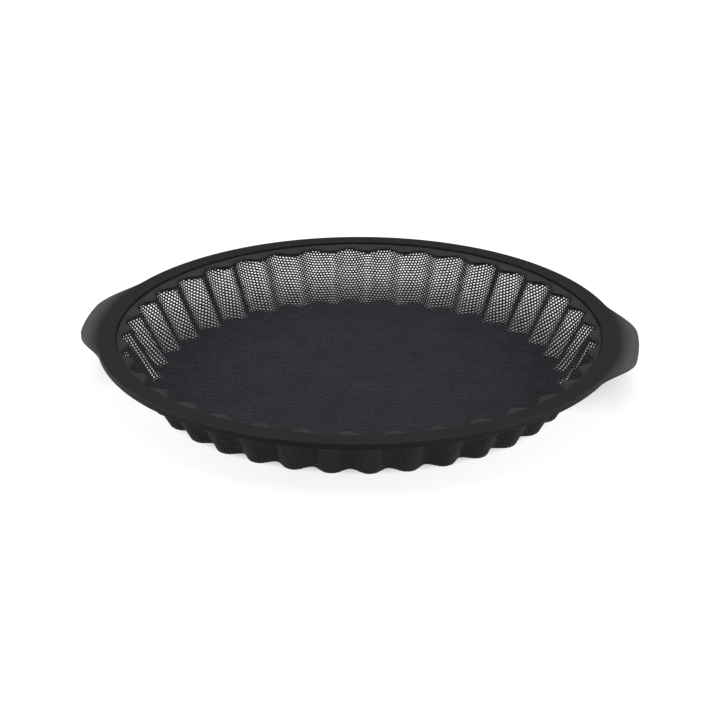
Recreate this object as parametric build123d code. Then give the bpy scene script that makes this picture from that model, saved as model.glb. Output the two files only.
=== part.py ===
from build123d import *
import os
from math import cos, pi, sin

# A fluted, perforated tart pan: a thin open-mesh shell carried by a soft moulded rim.
# Millimetres. Origin at the centre of the underside, +Z up, +X through one handle tab.

# ---- driving dimensions -------------------------------------------------------
HEIGHT = 32.5          # underside of the base to the top of the flange
FLUTES = 36            # scallops round the wall, one of them centred on each tab
RIM_R = 150.0          # outer radius of the flange
SEAT_R = 139.4         # where the flange ends and the edge band begins
FLANGE_T = 3.6         # thickness of the flange and of both handle tabs
STEP = 1.1             # drop from the flange top to the edge band
MESH_T = 0.8           # thickness of the open mesh
FLUTE_DEPTH = 6.0      # from a scallop's crown to the ridge beside it
FLUTE_SHARPNESS = 1.25 # above 1 the ridges are narrower than the scallops
BASE_CROWN_R = 123.2   # scallop crown just above the base, outside the mesh
TOP_CROWN_R = 138.4    # scallop crown under the flange, outside the mesh
CORNER = 2.2           # rise and inset of the bend between base and wall
BAND_DROP = 4.2        # flange top to the band's lower edge
BAND_COVER = 0.6       # silicone over the mesh on the inside of the band
BAND_R = 140.6         # outer radius of the band under the flange
BAND_FOOT_R = 138.6    # outer radius of the band at its lower edge
BAND_LEDGE = 0.5       # flat of the band's top beside the flange, on a scallop's crown
MESH_TUCK = 3.0        # flange top to the upper edge of the mesh, inside the band
TAB_REACH = 10.2       # handle tab beyond the flange
TAB_HALF = 18.5        # half the width of a tab's outer edge
TAB_FOOT = 56.3        # half the width of a tab along the flange, where its shoulders end
TAB_DROOP = 1.6        # fall of the tab's tip below the flange top
TAB_BEND_R = 144.0     # where the fall begins
WIRE_D = 1.8           # stiffening ring
WIRE_R = 145.2         # its centre line
POINTS_PER_FLUTE = 8

TAB_R = RIM_R + TAB_REACH
FLANGE_BOTTOM = HEIGHT - FLANGE_T
MESH_TOP = HEIGHT - MESH_TUCK
BAND_BOTTOM = HEIGHT - BAND_DROP


def ridge(angle):
    """1 on an inward ridge, 0 on the crown of a scallop."""
    return ((1 - cos(FLUTES * angle)) / 2) ** FLUTE_SHARPNESS


def scallop(index, crown_r, z):
    """One scallop of the outline at height z, from ridge to ridge."""
    pitch = 2 * pi / FLUTES
    turns = [pitch * (index - 0.5 + i / POINTS_PER_FLUTE) for i in range(POINTS_PER_FLUTE + 1)]
    radii = [crown_r - FLUTE_DEPTH * ridge(a) for a in turns]
    points = [(r * cos(a), r * sin(a), z) for r, a in zip(radii, turns)]
    ends = [(-sin(a), cos(a), 0) for a in (turns[0], turns[-1])]
    return Spline(points, tangents=ends)


def scalloped(crown_r, z):
    """Closed scalloped outline at height z, as a face."""
    return Face(Wire([scallop(i, crown_r, z).edge() for i in range(FLUTES)]))


def stack(sections):
    """Solid through scalloped outlines, each given as (crown radius, height)."""
    return loft([scalloped(crown_r, z) for crown_r, z in sections], ruled=True)


def crown_at(z):
    """Outer crown radius of the mesh wall at height z."""
    share = (z - CORNER) / (MESH_TOP - CORNER)
    return BASE_CROWN_R + share * (TOP_CROWN_R - BASE_CROWN_R)


def mesh_shell():
    """Base and wall in one formed sheet, open at the top."""
    above = MESH_TOP + 1
    outside = stack([
        (BASE_CROWN_R - CORNER, 0),
        (BASE_CROWN_R, CORNER),
        (TOP_CROWN_R, MESH_TOP),
    ])
    inside = stack([
        (BASE_CROWN_R - CORNER - MESH_T, MESH_T),
        (BASE_CROWN_R - MESH_T, CORNER + MESH_T / 2),
        (crown_at(above) - MESH_T, above),
    ])
    return outside - inside


def edge_band(mesh):
    """Solid silicone border moulded round the top of the mesh, under the flange."""
    top = HEIGHT - STEP
    with BuildPart() as blank:
        with BuildSketch(Plane.XZ):
            with BuildLine():
                Polyline(
                    (0, BAND_BOTTOM), (BAND_FOOT_R, BAND_BOTTOM), (BAND_R, FLANGE_BOTTOM),
                    (SEAT_R, FLANGE_BOTTOM), (SEAT_R, top), (0, top), close=True,
                )
            make_face()
        revolve(axis=Axis.Z)
    cover = MESH_T + BAND_COVER
    below, above = BAND_BOTTOM - 1, top + 1
    opening = stack([
        (crown_at(below) - cover, below),
        (crown_at(FLANGE_BOTTOM) - cover, FLANGE_BOTTOM),
        (SEAT_R - BAND_LEDGE, top),
        (SEAT_R - BAND_LEDGE, above),
    ])
    return blank.part - opening - mesh


def rim_outline():
    """Flange circle with a tab on each side, run together by smooth shoulders."""
    outline = Circle(RIM_R)
    end, foot = TAB_HALF / TAB_R, TAB_FOOT / RIM_R

    def spot(radius, angle):
        return (radius * cos(angle), radius * sin(angle))

    def heading(angle):
        return (-sin(angle), cos(angle))

    for side in (0, pi):
        low_foot, low_end = side - foot, side - end
        high_end, high_foot = side + end, side + foot
        with BuildLine() as edge:
            Spline(spot(RIM_R, low_foot), spot(TAB_R, low_end),
                   tangents=(heading(low_foot), heading(low_end)))
            ThreePointArc(spot(TAB_R, low_end), spot(TAB_R, side), spot(TAB_R, high_end))
            Spline(spot(TAB_R, high_end), spot(RIM_R, high_foot),
                   tangents=(heading(high_end), heading(high_foot)))
            Polyline(spot(RIM_R, high_foot), (0, 0), spot(RIM_R, low_foot))
        outline = outline + make_face(edge.edges())
    return outline


def rim_flange(wire):
    """Flat flange and drooping tabs, moulded over the stiffening ring."""
    reach = TAB_R + 2
    run = reach - TAB_BEND_R
    fall = TAB_DROOP * (run / (TAB_R - TAB_BEND_R)) ** 2
    slope = -2 * fall / run
    with BuildPart() as plate:
        with BuildSketch(Plane.XZ):
            with BuildLine():
                Line((SEAT_R, HEIGHT), (TAB_BEND_R, HEIGHT))
                Spline((TAB_BEND_R, HEIGHT), (reach, HEIGHT - fall), tangents=((1, 0), (1, slope)))
                Line((reach, HEIGHT - fall), (reach, FLANGE_BOTTOM - fall))
                Spline((reach, FLANGE_BOTTOM - fall), (TAB_BEND_R, FLANGE_BOTTOM),
                       tangents=((-1, -slope), (-1, 0)))
                Line((TAB_BEND_R, FLANGE_BOTTOM), (SEAT_R, FLANGE_BOTTOM))
                Line((SEAT_R, FLANGE_BOTTOM), (SEAT_R, HEIGHT))
            make_face()
        revolve(axis=Axis.Z)
    trimmed = plate.part & extrude(rim_outline(), amount=2 * HEIGHT)
    return trimmed - wire


def stiffening_ring():
    """Round steel wire bent to a ring and welded, sealed inside the flange."""
    return Pos(0, 0, HEIGHT - FLANGE_T / 2) * Torus(WIRE_R, WIRE_D / 2)


os.makedirs("parts", exist_ok=True)
mesh = mesh_shell()
ring = stiffening_ring()
parts = {
    "mesh_shell": mesh,
    "edge_band": edge_band(mesh),
    "rim_flange": rim_flange(ring),
    "stiffening_ring": ring,
}
for name, shape in parts.items():
    export_step(shape, f"parts/{name}.step")
    box = shape.bounding_box()
    print(name, len(shape.solids()), round(shape.volume, 1), box.min, box.max)
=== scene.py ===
"""Looks of the fluted, perforated tart pan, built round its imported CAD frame. Metres, +Z up."""

from math import cos, pi, radians, sin, sqrt, tan

import bpy
import numpy as np
from mathutils import Matrix, Vector


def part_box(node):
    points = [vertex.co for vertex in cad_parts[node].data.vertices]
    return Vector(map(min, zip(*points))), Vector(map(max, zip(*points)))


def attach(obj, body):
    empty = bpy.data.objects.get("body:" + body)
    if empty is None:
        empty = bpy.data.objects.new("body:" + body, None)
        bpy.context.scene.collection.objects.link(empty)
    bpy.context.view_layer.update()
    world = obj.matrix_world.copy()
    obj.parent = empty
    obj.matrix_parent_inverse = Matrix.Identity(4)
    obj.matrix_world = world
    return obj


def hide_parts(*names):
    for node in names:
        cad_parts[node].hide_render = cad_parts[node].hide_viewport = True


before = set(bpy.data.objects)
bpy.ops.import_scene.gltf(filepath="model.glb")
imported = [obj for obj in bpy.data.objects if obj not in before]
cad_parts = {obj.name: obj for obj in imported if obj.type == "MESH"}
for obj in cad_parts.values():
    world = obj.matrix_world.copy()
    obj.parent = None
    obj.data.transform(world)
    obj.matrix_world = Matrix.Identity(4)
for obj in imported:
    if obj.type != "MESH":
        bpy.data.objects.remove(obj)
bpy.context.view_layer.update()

MM = 0.001

# ---- sizes read from the frame --------------------------------------------------
FLANGE_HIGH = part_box("rim_flange")[1]
SHELL_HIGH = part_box("mesh_shell")[1]
BAND_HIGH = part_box("edge_band")[1]
HEIGHT = FLANGE_HIGH.z
TAB_R = FLANGE_HIGH.x
BAND_TOP = BAND_HIGH.z
TOP_CROWN_R = SHELL_HIGH.y
MESH_TOP = SHELL_HIGH.z

# ---- the rest of the pan's sizes, as in its CAD ---------------------------------
RIM_R = 150.0 * MM
FLUTES = 36
SEAT_R = 139.4 * MM    # where the flange ends and the edge band begins
FLANGE_T = 3.6 * MM
STEP = 1.1 * MM        # drop from the flange's top to the edge band
MESH_T = 0.8 * MM
FLUTE_DEPTH = 6.0 * MM
FLUTE_SHARPNESS = 1.25
BASE_CROWN_R = 123.2 * MM
CORNER = 2.2 * MM      # rise of the CAD's bend between base and wall
TAB_HALF = 18.5 * MM
TAB_FOOT = 56.3 * MM
TAB_DROOP = 1.6 * MM
TAB_BEND_R = 144.0 * MM

# ---- mesh -----------------------------------------------------------------------
PITCH = 2.05 * MM      # from one opening to the next along a row
HOLE_R = 0.57 * MM     # mean corner radius of an opening
HOLE_SPREAD = 0.05     # how much openings differ in size
HOLE_DRIFT = 0.02 * MM  # how far an opening sits off its place
HOLE_STRETCH = 1.16    # openings are this much longer along a row, and as much shorter across it
LIP = 1.30             # an opening's size at its lip, against its throat
LIP_RISE = 0.24 * MM   # the lip, above the middle of the sheet
THROAT_DROP = 0.28 * MM  # the throat, below the middle of the sheet
MESH_TURN = radians(7.2)  # rows of openings, off the line through the tabs
ROW_SQUEEZE = 0.87     # rows lie this much closer on the wall
DRAWN_IN = 0.65        # share of a ridge's depth by which the sheet slides inwards there
TAKE_UP = 25 * MM      # stretch of the base that takes up the rest
BEND_R = 3.4 * MM      # bend between base and wall, at the middle of the sheet
COATED_RUN = 2.6 * MM  # stretch below the band where silicone narrows the openings
NARROWEST = 0.72       # size of the openings at the band, against the rest
SAME_CORNER = 0.01 * MM  # corners nearer than this are one
SECTORS = 6

# ---- edge band ------------------------------------------------------------------
BAND_STEPS = FLUTES * 24
BAND_PROUD = 0.4 * MM    # silicone over the mesh, on either side
BAND_TAPER = 0.25 * MM   # height over which its lower edges run into the mesh
GROOVE_DEPTH = 0.45 * MM  # groove between the flange and the band's ledge
UNDER_R = 140.4 * MM     # outer radius of the band under the flange

# ---- flange ---------------------------------------------------------------------
FLANGE_STEPS = 1080
OUTER_EDGE = 0.45 * MM   # radius of the softened outer edges
INNER_EDGE = 0.3 * MM    # radius of the softened inner edge
DISH_DEPTH = 0.55 * MM   # thumb hollow in the top of a tab
DISH_R = 149.0 * MM
DISH_HALF = 24 * MM      # along the rim
DISH_REACH = 6.5 * MM    # across it

# ---- stage ----------------------------------------------------------------------
FLOOR_HALF = 6.0
FLOOR_GAP = 0.0001       # floor below the pan's base
FLOOR_GLOW = 0.86        # glow of the floor beside the pan, against far from it
SHADED_GLOW = 0.3        # and where the pan shades it, against beside the pan

FLANGE_BOTTOM = HEIGHT - FLANGE_T
BORDER = HEIGHT - 3.5 * MM  # where the open mesh meets the solid band, on the inside


# =================================================================================
# Shapes shared by the pieces
# =================================================================================
def ridge(angle):
    """1 on an inward ridge of the wall, 0 on the crown of a scallop."""
    return ((1 - np.cos(FLUTES * angle)) / 2) ** FLUTE_SHARPNESS


WALL_RUN = TOP_CROWN_R - BASE_CROWN_R
WALL_RISE = MESH_TOP - CORNER
WALL_LEAN = np.arctan2(WALL_RISE, WALL_RUN)  # from the floor up to the wall


def wall_crown(z):
    """Crown radius at height z, at the middle of the sheet."""
    across = MESH_T / 2 / sin(WALL_LEAN)
    return BASE_CROWN_R + (z - CORNER) / WALL_RISE * WALL_RUN - across


# the bend touches the base's flat at this height and radius, and the wall further on
FLAT_Z = MESH_T / 2
FLAT_R = wall_crown(FLAT_Z) - BEND_R * tan(WALL_LEAN / 2)
BEND_LENGTH = BEND_R * WALL_LEAN


def crown_profile(s):
    """Radius and height on a crown, s along the sheet from where the base's flat ends."""
    turn = np.clip(s / BEND_R, 0, WALL_LEAN)
    rest = np.maximum(s - BEND_LENGTH, 0)
    flat = np.minimum(s, 0)
    radius = FLAT_R + flat + BEND_R * np.sin(turn) + rest * cos(WALL_LEAN)
    height = FLAT_Z + BEND_R * (1 - np.cos(turn)) + rest * sin(WALL_LEAN)
    return radius, height


def smoothstep(t):
    """0 below 0, 1 above 1, and a soft rise between."""
    t = np.clip(t, 0, 1)
    return t * t * (3 - 2 * t)


def formed(x, y):
    """Where a point of the flat sheet lies once the sheet is formed into the pan."""
    rho = np.hypot(x, y)
    angle = np.arctan2(y, x)
    inward = FLUTE_DEPTH * ridge(angle)
    flat_end = FLAT_R - DRAWN_IN * inward
    s = ROW_SQUEEZE * (rho - flat_end)
    radius, height = crown_profile(s)
    taken_up = smoothstep((rho - flat_end + TAKE_UP) / TAKE_UP)
    on_base = rho - (1 - DRAWN_IN) * inward * taken_up
    radius = np.where(s > 0, radius - inward, on_base)
    height = np.where(s > 0, height, FLAT_Z)
    return np.stack([radius * np.cos(angle), radius * np.sin(angle), height], -1)


def inner_normal(x, y):
    """Unit normal of the formed sheet, on the pan's inside."""
    d = 0.05 * MM
    along_x = formed(x + d, y) - formed(x - d, y)
    along_y = formed(x, y + d) - formed(x, y - d)
    normal = np.cross(along_x, along_y)
    return normal / np.linalg.norm(normal, axis=-1, keepdims=True)


def add_object(name, data):
    ob = bpy.data.objects.new(name, data)
    bpy.context.scene.collection.objects.link(ob)
    return ob


def swept(name, points, rows, steps):
    """Smooth closed moulding: a closed section of so many rows, at so many steps round."""
    faces = []
    for i in range(steps):
        j = (i + 1) % steps
        for k in range(rows):
            m = (k + 1) % rows
            faces.append((i * rows + k, j * rows + k, j * rows + m, i * rows + m))
    me = bpy.data.meshes.new(name)
    me.from_pydata([tuple(p) for p in points.reshape(-1, 3)], [], faces)
    me.validate()
    me.update()
    me.shade_smooth()
    return add_object(name, me)


def bezier(a, b, c, d, count):
    """Points of a cubic from a to d, leaving out d; each end is an (r, z) pair of arrays."""
    t = np.linspace(0, 1, count, endpoint=False)[None, :]
    parts = []
    for k in (0, 1):
        pa, pb, pc, pd = (np.asarray(p[k], float)[:, None] for p in (a, b, c, d))
        parts.append((1 - t) ** 3 * pa + 3 * (1 - t) ** 2 * t * pb
                     + 3 * (1 - t) * t ** 2 * pc + t ** 3 * pd)
    return parts


def toward(a, b, share):
    return tuple(p + share * (q - p) for p, q in zip(a, b))


def straight(a, b, count):
    """Points of a line from a to b, leaving out b."""
    return bezier(a, toward(a, b, 0.3), toward(a, b, 0.7), b, count)


# =================================================================================
# Pieces
# =================================================================================
def lattice():
    """Centres of the openings in the flat sheet, out to past the band."""
    reach = FLAT_R + BEND_LENGTH + WALL_RISE * 1.3
    row = PITCH * sqrt(3) / 2
    rows = int(reach / row) + 1
    cols = int(reach / PITCH) + 2
    j = np.arange(-rows, rows + 1)
    i = np.arange(-cols, cols + 1)
    x = (i[None, :] + 0.5 * (j[:, None] % 2)) * PITCH
    y = np.broadcast_to(j[:, None] * row, x.shape)
    return x.ravel(), y.ravel()


def border(w):
    """Height of the open mesh's end: a little more on a ridge than on a crown."""
    return BORDER + 0.8 * MM * w


def opened(rise, end):
    """Share to which an opening is free of silicone: less just below the band."""
    return NARROWEST + (1 - NARROWEST) * smoothstep((end - 0.2 * MM - rise) / COATED_RUN)


def turned(x, y):
    """A point of the lattice, turned to how the sheet lies in the pan."""
    return x * cos(MESH_TURN) - y * sin(MESH_TURN), x * sin(MESH_TURN) + y * cos(MESH_TURN)


def quad_mesh(name, points, quads, normals):
    """Smooth object of the given quads, with only the points they use."""
    used, local = np.unique(quads, return_inverse=True)
    me = bpy.data.meshes.new(name)
    me.vertices.add(len(used))
    me.vertices.foreach_set("co", points[used].astype(np.float32).ravel())
    me.loops.add(quads.size)
    me.loops.foreach_set("vertex_index", local.astype(np.int32).ravel())
    me.polygons.add(len(quads))
    me.polygons.foreach_set("loop_start", np.arange(0, quads.size, 4, dtype=np.int32))
    me.update(calc_edges=True)
    me.shade_smooth()
    me.normals_split_custom_set_from_vertices([tuple(n) for n in normals[used]])
    return add_object(name, me)


def mean_normals(points, quads):
    """Unit normal at each point, over the quads that meet there, larger ones counting more."""
    normals = np.zeros_like(points)
    p = points[quads]
    face_normal = np.cross(p[:, 2] - p[:, 0], p[:, 3] - p[:, 1])
    for k in range(4):
        np.add.at(normals, quads[:, k], face_normal)
    return normals / np.maximum(np.linalg.norm(normals, axis=1, keepdims=True), 1e-12)


def mesh_sectors():
    """The perforated shell, every opening cut, in equal sectors."""
    x, y = lattice()
    place = formed(*turned(x, y))
    angle = np.arctan2(place[:, 1], place[:, 0])
    end = border(ridge(angle))
    keep = place[:, 2] < end + (0.1 - 0.3 * ridge(angle)) * MM
    x, y, angle, rise, end = x[keep], y[keep], angle[keep], place[keep, 2], end[keep]

    # corners of the six-sided cells, each shared by the cells that meet there
    count = len(x)
    spokes = radians(30) + np.arange(6) * pi / 3
    corner_r = PITCH / sqrt(3)
    cx = x[:, None] + corner_r * np.cos(spokes)
    cy = y[:, None] + corner_r * np.sin(spokes)
    keys = np.round(np.stack([cx, cy], -1).reshape(-1, 2) / SAME_CORNER).astype(np.int64)
    _, first, back = np.unique(keys, axis=0, return_index=True, return_inverse=True)
    corner = turned(cx.ravel()[first], cy.ravel()[first])
    corners = len(first)

    rng = np.random.default_rng(7)
    size = HOLE_R * (1 + HOLE_SPREAD * rng.standard_normal(count)) * opened(rise, end)
    drift = HOLE_DRIFT * rng.standard_normal((2, count))
    wide = size[:, None] * HOLE_STRETCH * np.cos(spokes)
    high = size[:, None] / HOLE_STRETCH * np.sin(spokes)
    across = np.repeat(inner_normal(*turned(x, y)), 6, axis=0)

    def opening(scale, rise_above):
        """Every opening's six corners, at a height above the middle of the sheet."""
        hx = (x + drift[0])[:, None] + scale * wide
        hy = (y + drift[1])[:, None] + scale * high
        return formed(*turned(hx.ravel(), hy.ravel())) + rise_above * across

    middle = formed(*corner)
    half = inner_normal(*corner) * MESH_T / 2
    points = np.concatenate([middle + half, middle - half,
                             opening(LIP, LIP_RISE), opening(1, -THROAT_DROP)])

    nxt = np.roll(np.arange(6), -1)
    top = back.reshape(count, 6)
    low = top + corners
    lip = 2 * corners + np.arange(count * 6).reshape(count, 6)
    throat = lip + count * 6
    rings = ((top, lip), (lip, throat), (throat, low))
    quads = np.concatenate([np.stack([a, a[:, nxt], b[:, nxt], b], -1) for a, b in rings], 1)
    normals = mean_normals(points, quads.reshape(-1, 4))

    sector = np.floor((angle + pi) / (2 * pi) * SECTORS).astype(int) % SECTORS
    return [quad_mesh(f"mesh_sector_{k + 1}", points, quads[sector == k].reshape(-1, 4), normals)
            for k in range(SECTORS)]


def edge_band():
    """Solid silicone border holding the top of the mesh: a scalloped ledge inside the flange."""
    angle = np.arange(BAND_STEPS) * 2 * pi / BAND_STEPS
    w = ridge(angle)
    half = MESH_T / 2 / sin(WALL_LEAN)

    def inner_r(z):
        return wall_crown(z) - half - FLUTE_DEPTH * w - BAND_PROUD

    def outer_r(z):
        return wall_crown(z) + half - FLUTE_DEPTH * w + BAND_PROUD

    # corners of the section: (radius, height) round the pan
    one = np.ones(BAND_STEPS)
    z_in = border(w)
    z_out = HEIGHT - (4.1 + 0.2 * w) * MM
    seat_top = (SEAT_R * one, (BAND_TOP - GROOVE_DEPTH) * one)
    groove = ((SEAT_R - 0.35 * MM) * one, (BAND_TOP - GROOVE_DEPTH) * one)
    ledge = ((SEAT_R - 0.8 * MM) * one, BAND_TOP * one)
    corner = (inner_r(BAND_TOP - 0.9 * MM * (1 - w)) - 0.2 * MM * (1 - w),
              BAND_TOP - (0.9 - 0.7 * w) * MM)
    in_end = (inner_r(z_in), z_in)
    in_lip = (inner_r(z_in) + BAND_PROUD + 0.1 * MM, z_in - BAND_TAPER)
    out_lip = (outer_r(z_out) - BAND_PROUD - 0.1 * MM, z_out - BAND_TAPER)
    out_end = (outer_r(z_out), z_out)
    under = (UNDER_R * one, FLANGE_BOTTOM * one)
    out_corner = (outer_r(FLANGE_BOTTOM) + 0.5 * MM + 4 * MM * w,
                  (FLANGE_BOTTOM - 0.1 * MM) * one)
    seat_low = (SEAT_R * one, FLANGE_BOTTOM * one)

    runs = [bezier(seat_top, groove, groove, ledge, 5),
            bezier(ledge, toward(ledge, corner, 0.95), toward(in_end, corner, 0.9), in_end, 14),
            straight(in_end, in_lip, 3),
            straight(in_lip, out_lip, 2),
            straight(out_lip, out_end, 3),
            bezier(out_end, toward(out_end, out_corner, 0.6),
                   toward(under, out_corner, 0.6), under, 10),
            straight(under, seat_low, 2),
            straight(seat_low, seat_top, 2)]
    radius = np.concatenate([r[0] for r in runs], 1)
    height = np.concatenate([r[1] for r in runs], 1)
    x, y = radius * np.cos(angle)[:, None], radius * np.sin(angle)[:, None]
    return swept("edge_band_moulding", np.stack([x, y, height], -1), radius.shape[1], BAND_STEPS)


def off_tab(angle):
    """Angle from the middle of the nearer tab."""
    off = np.abs(np.arctan2(np.sin(angle), np.cos(angle)))
    return np.minimum(off, pi - off)


def rim_radius(angle):
    """Outer radius of the flange: a circle, with a tab on each side."""
    end, foot = TAB_HALF / TAB_R, TAB_FOOT / RIM_R
    return RIM_R + (TAB_R - RIM_R) * smoothstep((foot - off_tab(angle)) / (foot - end))


def tab_fall(radius):
    """Drop of the flange's top towards a tab's tip."""
    beyond = np.maximum(radius - TAB_BEND_R, 0)
    return TAB_DROOP * (beyond / (TAB_R - TAB_BEND_R)) ** 2


def thumb_dish(radius, angle):
    """Shallow hollow in the top of each tab, beside the flange."""
    along = off_tab(angle) * radius / DISH_HALF
    across = (radius - DISH_R) / DISH_REACH
    return DISH_DEPTH * np.exp(-(along ** 2) ** 1.5 - across ** 2)


def flange():
    """Flange and both tabs, one moulding with softened edges."""
    angle = np.arange(FLANGE_STEPS) * 2 * pi / FLANGE_STEPS
    outer = rim_radius(angle)
    seat = np.full(FLANGE_STEPS, SEAT_R)
    columns = []

    def put(radius, offset, from_bottom=False):
        """One line round the moulding, at an offset below its top or above its bottom."""
        if from_bottom:
            z = FLANGE_BOTTOM + offset - tab_fall(radius)
        else:
            z = HEIGHT - offset - tab_fall(radius) - thumb_dish(radius, angle)
        columns.append(np.stack([radius * np.cos(angle), radius * np.sin(angle), z], -1))

    put(seat, 0, True)
    put(seat, STEP)
    for t in np.arange(5) / 4 * pi / 2:
        put(seat + INNER_EDGE * (1 - cos(t)), INNER_EDGE * (1 - sin(t)))
    for s in np.linspace(0, 1, 26)[1:-1]:
        put(seat + INNER_EDGE + s * (outer - OUTER_EDGE - seat - INNER_EDGE), 0)
    quarter = np.arange(7) / 6 * pi / 2
    for t in quarter:
        put(outer - OUTER_EDGE + OUTER_EDGE * sin(t), OUTER_EDGE * (1 - cos(t)))
    for t in quarter:
        put(outer - OUTER_EDGE + OUTER_EDGE * cos(t), OUTER_EDGE * (1 - sin(t)), True)
    for s in (0.75, 0.5, 0.25):
        put(seat + s * (outer - OUTER_EDGE - seat), 0, True)
    return swept("rim_flange_moulding", np.stack(columns, 1), len(columns), FLANGE_STEPS)


# =================================================================================
# Materials
# =================================================================================
class Graph:
    """Short way to write a node tree."""

    def __init__(self, name):
        self.material = bpy.data.materials.new(name)
        self.material.use_nodes = True
        self.tree = self.material.node_tree
        self.tree.nodes.clear()
        self.out = self.add("ShaderNodeOutputMaterial")
        self.shader = self.add("ShaderNodeBsdfPrincipled")
        self.link(self.shader, "BSDF", self.out, "Surface")
        self.coord = self.add("ShaderNodeTexCoord")

    def add(self, kind, **values):
        node = self.tree.nodes.new(kind)
        for key, value in values.items():
            setattr(node, key, value)
        return node

    def link(self, a, output, b, socket):
        self.tree.links.new(a.outputs[output], b.inputs[socket])

    def constant(self, **values):
        """Fixed values on the shader's own sockets, with _ for each space in a name."""
        for key, value in values.items():
            self.shader.inputs[key.replace("_", " ")].default_value = value

    def noise(self, scale, detail):
        node = self.add("ShaderNodeTexNoise")
        self.link(self.coord, "Object", node, "Vector")
        node.inputs["Scale"].default_value = scale
        node.inputs["Detail"].default_value = detail
        node.inputs["Roughness"].default_value = 0.5
        return node

    def clouded(self, source, low, high):
        """A colour from low to high over the middle of a noise."""
        node = self.add("ShaderNodeValToRGB")
        self.link(source, "Fac", node, "Fac")
        for element, place, colour in zip(node.color_ramp.elements, (0.3, 0.7), (low, high)):
            element.position, element.color = place, colour
        return node

    def reach(self):
        """Distance from the middle of the pan's base."""
        node = self.add("ShaderNodeVectorMath", operation="LENGTH")
        self.link(self.coord, "Object", node, "Vector")
        return node

    def spread(self, source, output, low, high, start=0.3, end=0.7):
        """A value from low to high as the source goes from start to end."""
        node = self.add("ShaderNodeMapRange")
        self.link(source, output, node, "Value")
        names = ("From Min", "From Max", "To Min", "To Max")
        for key, value in zip(names, (start, end, low, high)):
            node.inputs[key].default_value = value
        return node

    def math(self, operation, a, b):
        node = self.add("ShaderNodeMath", operation=operation)
        self.link(a, 0, node, 0)
        self.link(b, 0, node, 1)
        return node


def grey(level, blue=0.0):
    return (level, level, level * (1 + blue), 1)


def silicone(name, low, high, tip_sheen_and_wear=0.0):
    """Matt moulded silicone; a given tip level makes the tabs paler and warmer towards their
    tips, partly painted sheen and partly dust and wear.
    """
    g = Graph(name)
    cloud = g.noise(28, 4)
    grain = g.noise(2600, 2)
    colour = g.clouded(cloud, grey(low), grey(high))
    if tip_sheen_and_wear:
        # painted sheen with dust and wear on the tab tips: paler and warmer beyond the round rim
        tip_sheen_and_wear_mask = g.spread(g.reach(), "Value", 0.0, 1.0, 152.5 * MM, 160 * MM)
        mix = g.add("ShaderNodeMix", data_type="RGBA")
        g.link(tip_sheen_and_wear_mask, "Result", mix, "Factor")
        first_colour, second_colour, mixed_colour = 6, 7, 2  # sockets, by place
        g.link(colour, "Color", mix, first_colour)
        mix.inputs[second_colour].default_value = grey(tip_sheen_and_wear, -0.06)
        g.link(mix, mixed_colour, g.shader, "Base Color")
    else:
        g.link(colour, "Color", g.shader, "Base Color")
    rough = g.spread(cloud, "Fac", 0.50, 0.60)
    g.link(rough, "Result", g.shader, "Roughness")
    fine = g.add("ShaderNodeBump")
    g.link(grain, "Fac", fine, "Height")
    fine.inputs["Distance"].default_value = 0.00003
    fine.inputs["Strength"].default_value = 0.5
    g.link(fine, "Normal", g.shader, "Normal")
    g.constant(IOR=1.41, Specular_IOR_Level=0.08)
    return g.material


def coated_mesh():
    g = Graph("coated_mesh")
    # the blue in this colour is a painted reflection; the coated mesh itself is near black
    colour = g.clouded(g.noise(45, 4), grey(0.014, 0.20), grey(0.018, 0.22))
    g.link(colour, "Color", g.shader, "Base Color")
    g.constant(Roughness=0.5, IOR=1.41, Specular_IOR_Level=0.1)
    return g.material


def drawn_steel():
    g = Graph("drawn_steel")
    colour = g.clouded(g.noise(900, 3), grey(0.48), grey(0.6))
    g.link(colour, "Color", g.shader, "Base Color")
    g.constant(Metallic=1.0, Roughness=0.3)
    return g.material


def dress(ob, material):
    ob.data.materials.clear()
    ob.data.materials.append(material)


# =================================================================================
# Stage
# =================================================================================
def white_floor():
    """Pale floor that glows by itself, less beneath the pan and behind it.

    The pan's shade is partly set here, by position on the floor, because what shows
    through the openings is this floor.
    """
    g = Graph("white_floor")
    colour = g.clouded(g.noise(0.8, 2), grey(0.15), grey(0.16))
    g.link(colour, "Color", g.shader, "Base Color")
    g.constant(Roughness=0.9, Specular_IOR_Level=0.0, Emission_Color=(1, 1, 1, 1))
    place = g.add("ShaderNodeSeparateXYZ")
    g.link(g.coord, "Object", place, "Vector")
    reach = g.reach()
    core = g.spread(reach, "Value", 1.0, 0.0, 110 * MM, 121 * MM)
    overhang = g.spread(reach, "Value", 1.0, 0.0, 125 * MM, 168 * MM)
    behind = g.spread(place, "Y", 0.0, 1.0, -30 * MM, 25 * MM)
    shade = g.math("MAXIMUM", core, g.math("MULTIPLY", overhang, behind))
    open_floor = g.spread(reach, "Value", FLOOR_GLOW, 1.0, 150 * MM, 400 * MM)
    dimmed = g.spread(shade, "Value", 1.0, SHADED_GLOW, 0, 1)
    glow = g.math("MULTIPLY", open_floor, dimmed)
    g.link(glow, "Value", g.shader, "Emission Strength")
    return g.material


def floor():
    h = FLOOR_HALF
    me = bpy.data.meshes.new("floor")
    me.from_pydata([(-h, -h, 0), (h, -h, 0), (h, h, 0), (-h, h, 0)], [], [(0, 1, 2, 3)])
    ob = add_object("floor", me)
    ob.location.z = -FLOOR_GAP
    dress(ob, white_floor())


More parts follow.
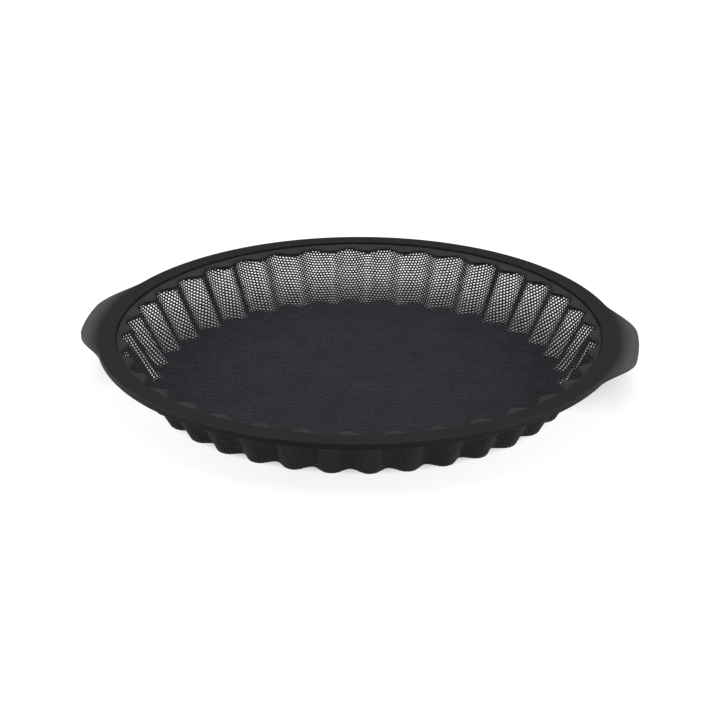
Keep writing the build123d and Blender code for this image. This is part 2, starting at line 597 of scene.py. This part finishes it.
def softbox(name, place, aim, size, power):
    data = bpy.data.lights.new(name, "AREA")
    data.shape = "RECTANGLE"
    data.size, data.size_y = size
    data.energy = power
    ob = add_object(name, data)
    ob.location = place
    ob.rotation_euler = (Vector(aim) - Vector(place)).to_track_quat("-Z", "Y").to_euler()


def lighting():
    world = bpy.data.worlds.new("studio")
    bpy.context.scene.world = world
    world.use_nodes = True
    background = world.node_tree.nodes["Background"]
    background.inputs["Color"].default_value = (1, 1, 1, 1)
    background.inputs["Strength"].default_value = 0.05
    pan = (0, 0, 0.02)
    softbox("top_softbox", (0, 0.0, 1.5), (0, 0, 0), (1.6, 1.4), 32)
    softbox("backdrop", (0, 1.7, 0.75), pan, (3.0, 0.8), 3.2)
    softbox("left_softbox", (-0.7, -0.1, 0.35), pan, (0.5, 0.4), 6)
    softbox("right_softbox", (0.7, -0.1, 0.35), pan, (0.5, 0.4), 6)
    bpy.context.scene.view_settings.view_transform = "Standard"


def camera():
    azimuth, elevation = radians(7.2), radians(24.0)
    distance, view_px, focal_px, sensor = 1.2, 720, 2071.0, 36.0
    data = bpy.data.cameras.new("camera")
    data.sensor_width = sensor
    data.lens = sensor * focal_px / view_px
    data.clip_start = 0.05
    ob = add_object("camera", data)
    back = Vector((sin(azimuth) * cos(elevation), -cos(azimuth) * cos(elevation), sin(elevation)))
    aim = Matrix.Rotation(azimuth, 3, "Z") @ Vector((0.6 * MM, 0, 12.4 * MM))
    ob.location = aim + back * distance
    ob.rotation_euler = back.to_track_quat("Z", "Y").to_euler()
    bpy.context.scene.camera = ob


# =================================================================================
# Put together
# =================================================================================
camera()
lighting()
floor()

# the flange's silicone, with a painted sheen and a warm tint of dust and wear towards the tab
# tips
moulding = silicone("moulded_silicone", 0.0085, 0.0105, tip_sheen_and_wear=0.042)
# the edge band is the flange's silicone painted about twice as pale: painted light on the band
painted_pale_border_coat = silicone("border_silicone_painted_pale", 0.017, 0.021)
mesh_coat, steel = coated_mesh(), drawn_steel()

for piece in mesh_sectors():
    dress(piece, mesh_coat)
    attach(piece, "root")
    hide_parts("mesh_shell")

band = edge_band()
dress(band, painted_pale_border_coat)
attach(band, "root")
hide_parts("edge_band")

rim = flange()
dress(rim, moulding)
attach(rim, "root")
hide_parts("rim_flange")

dress(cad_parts["stiffening_ring"], steel)
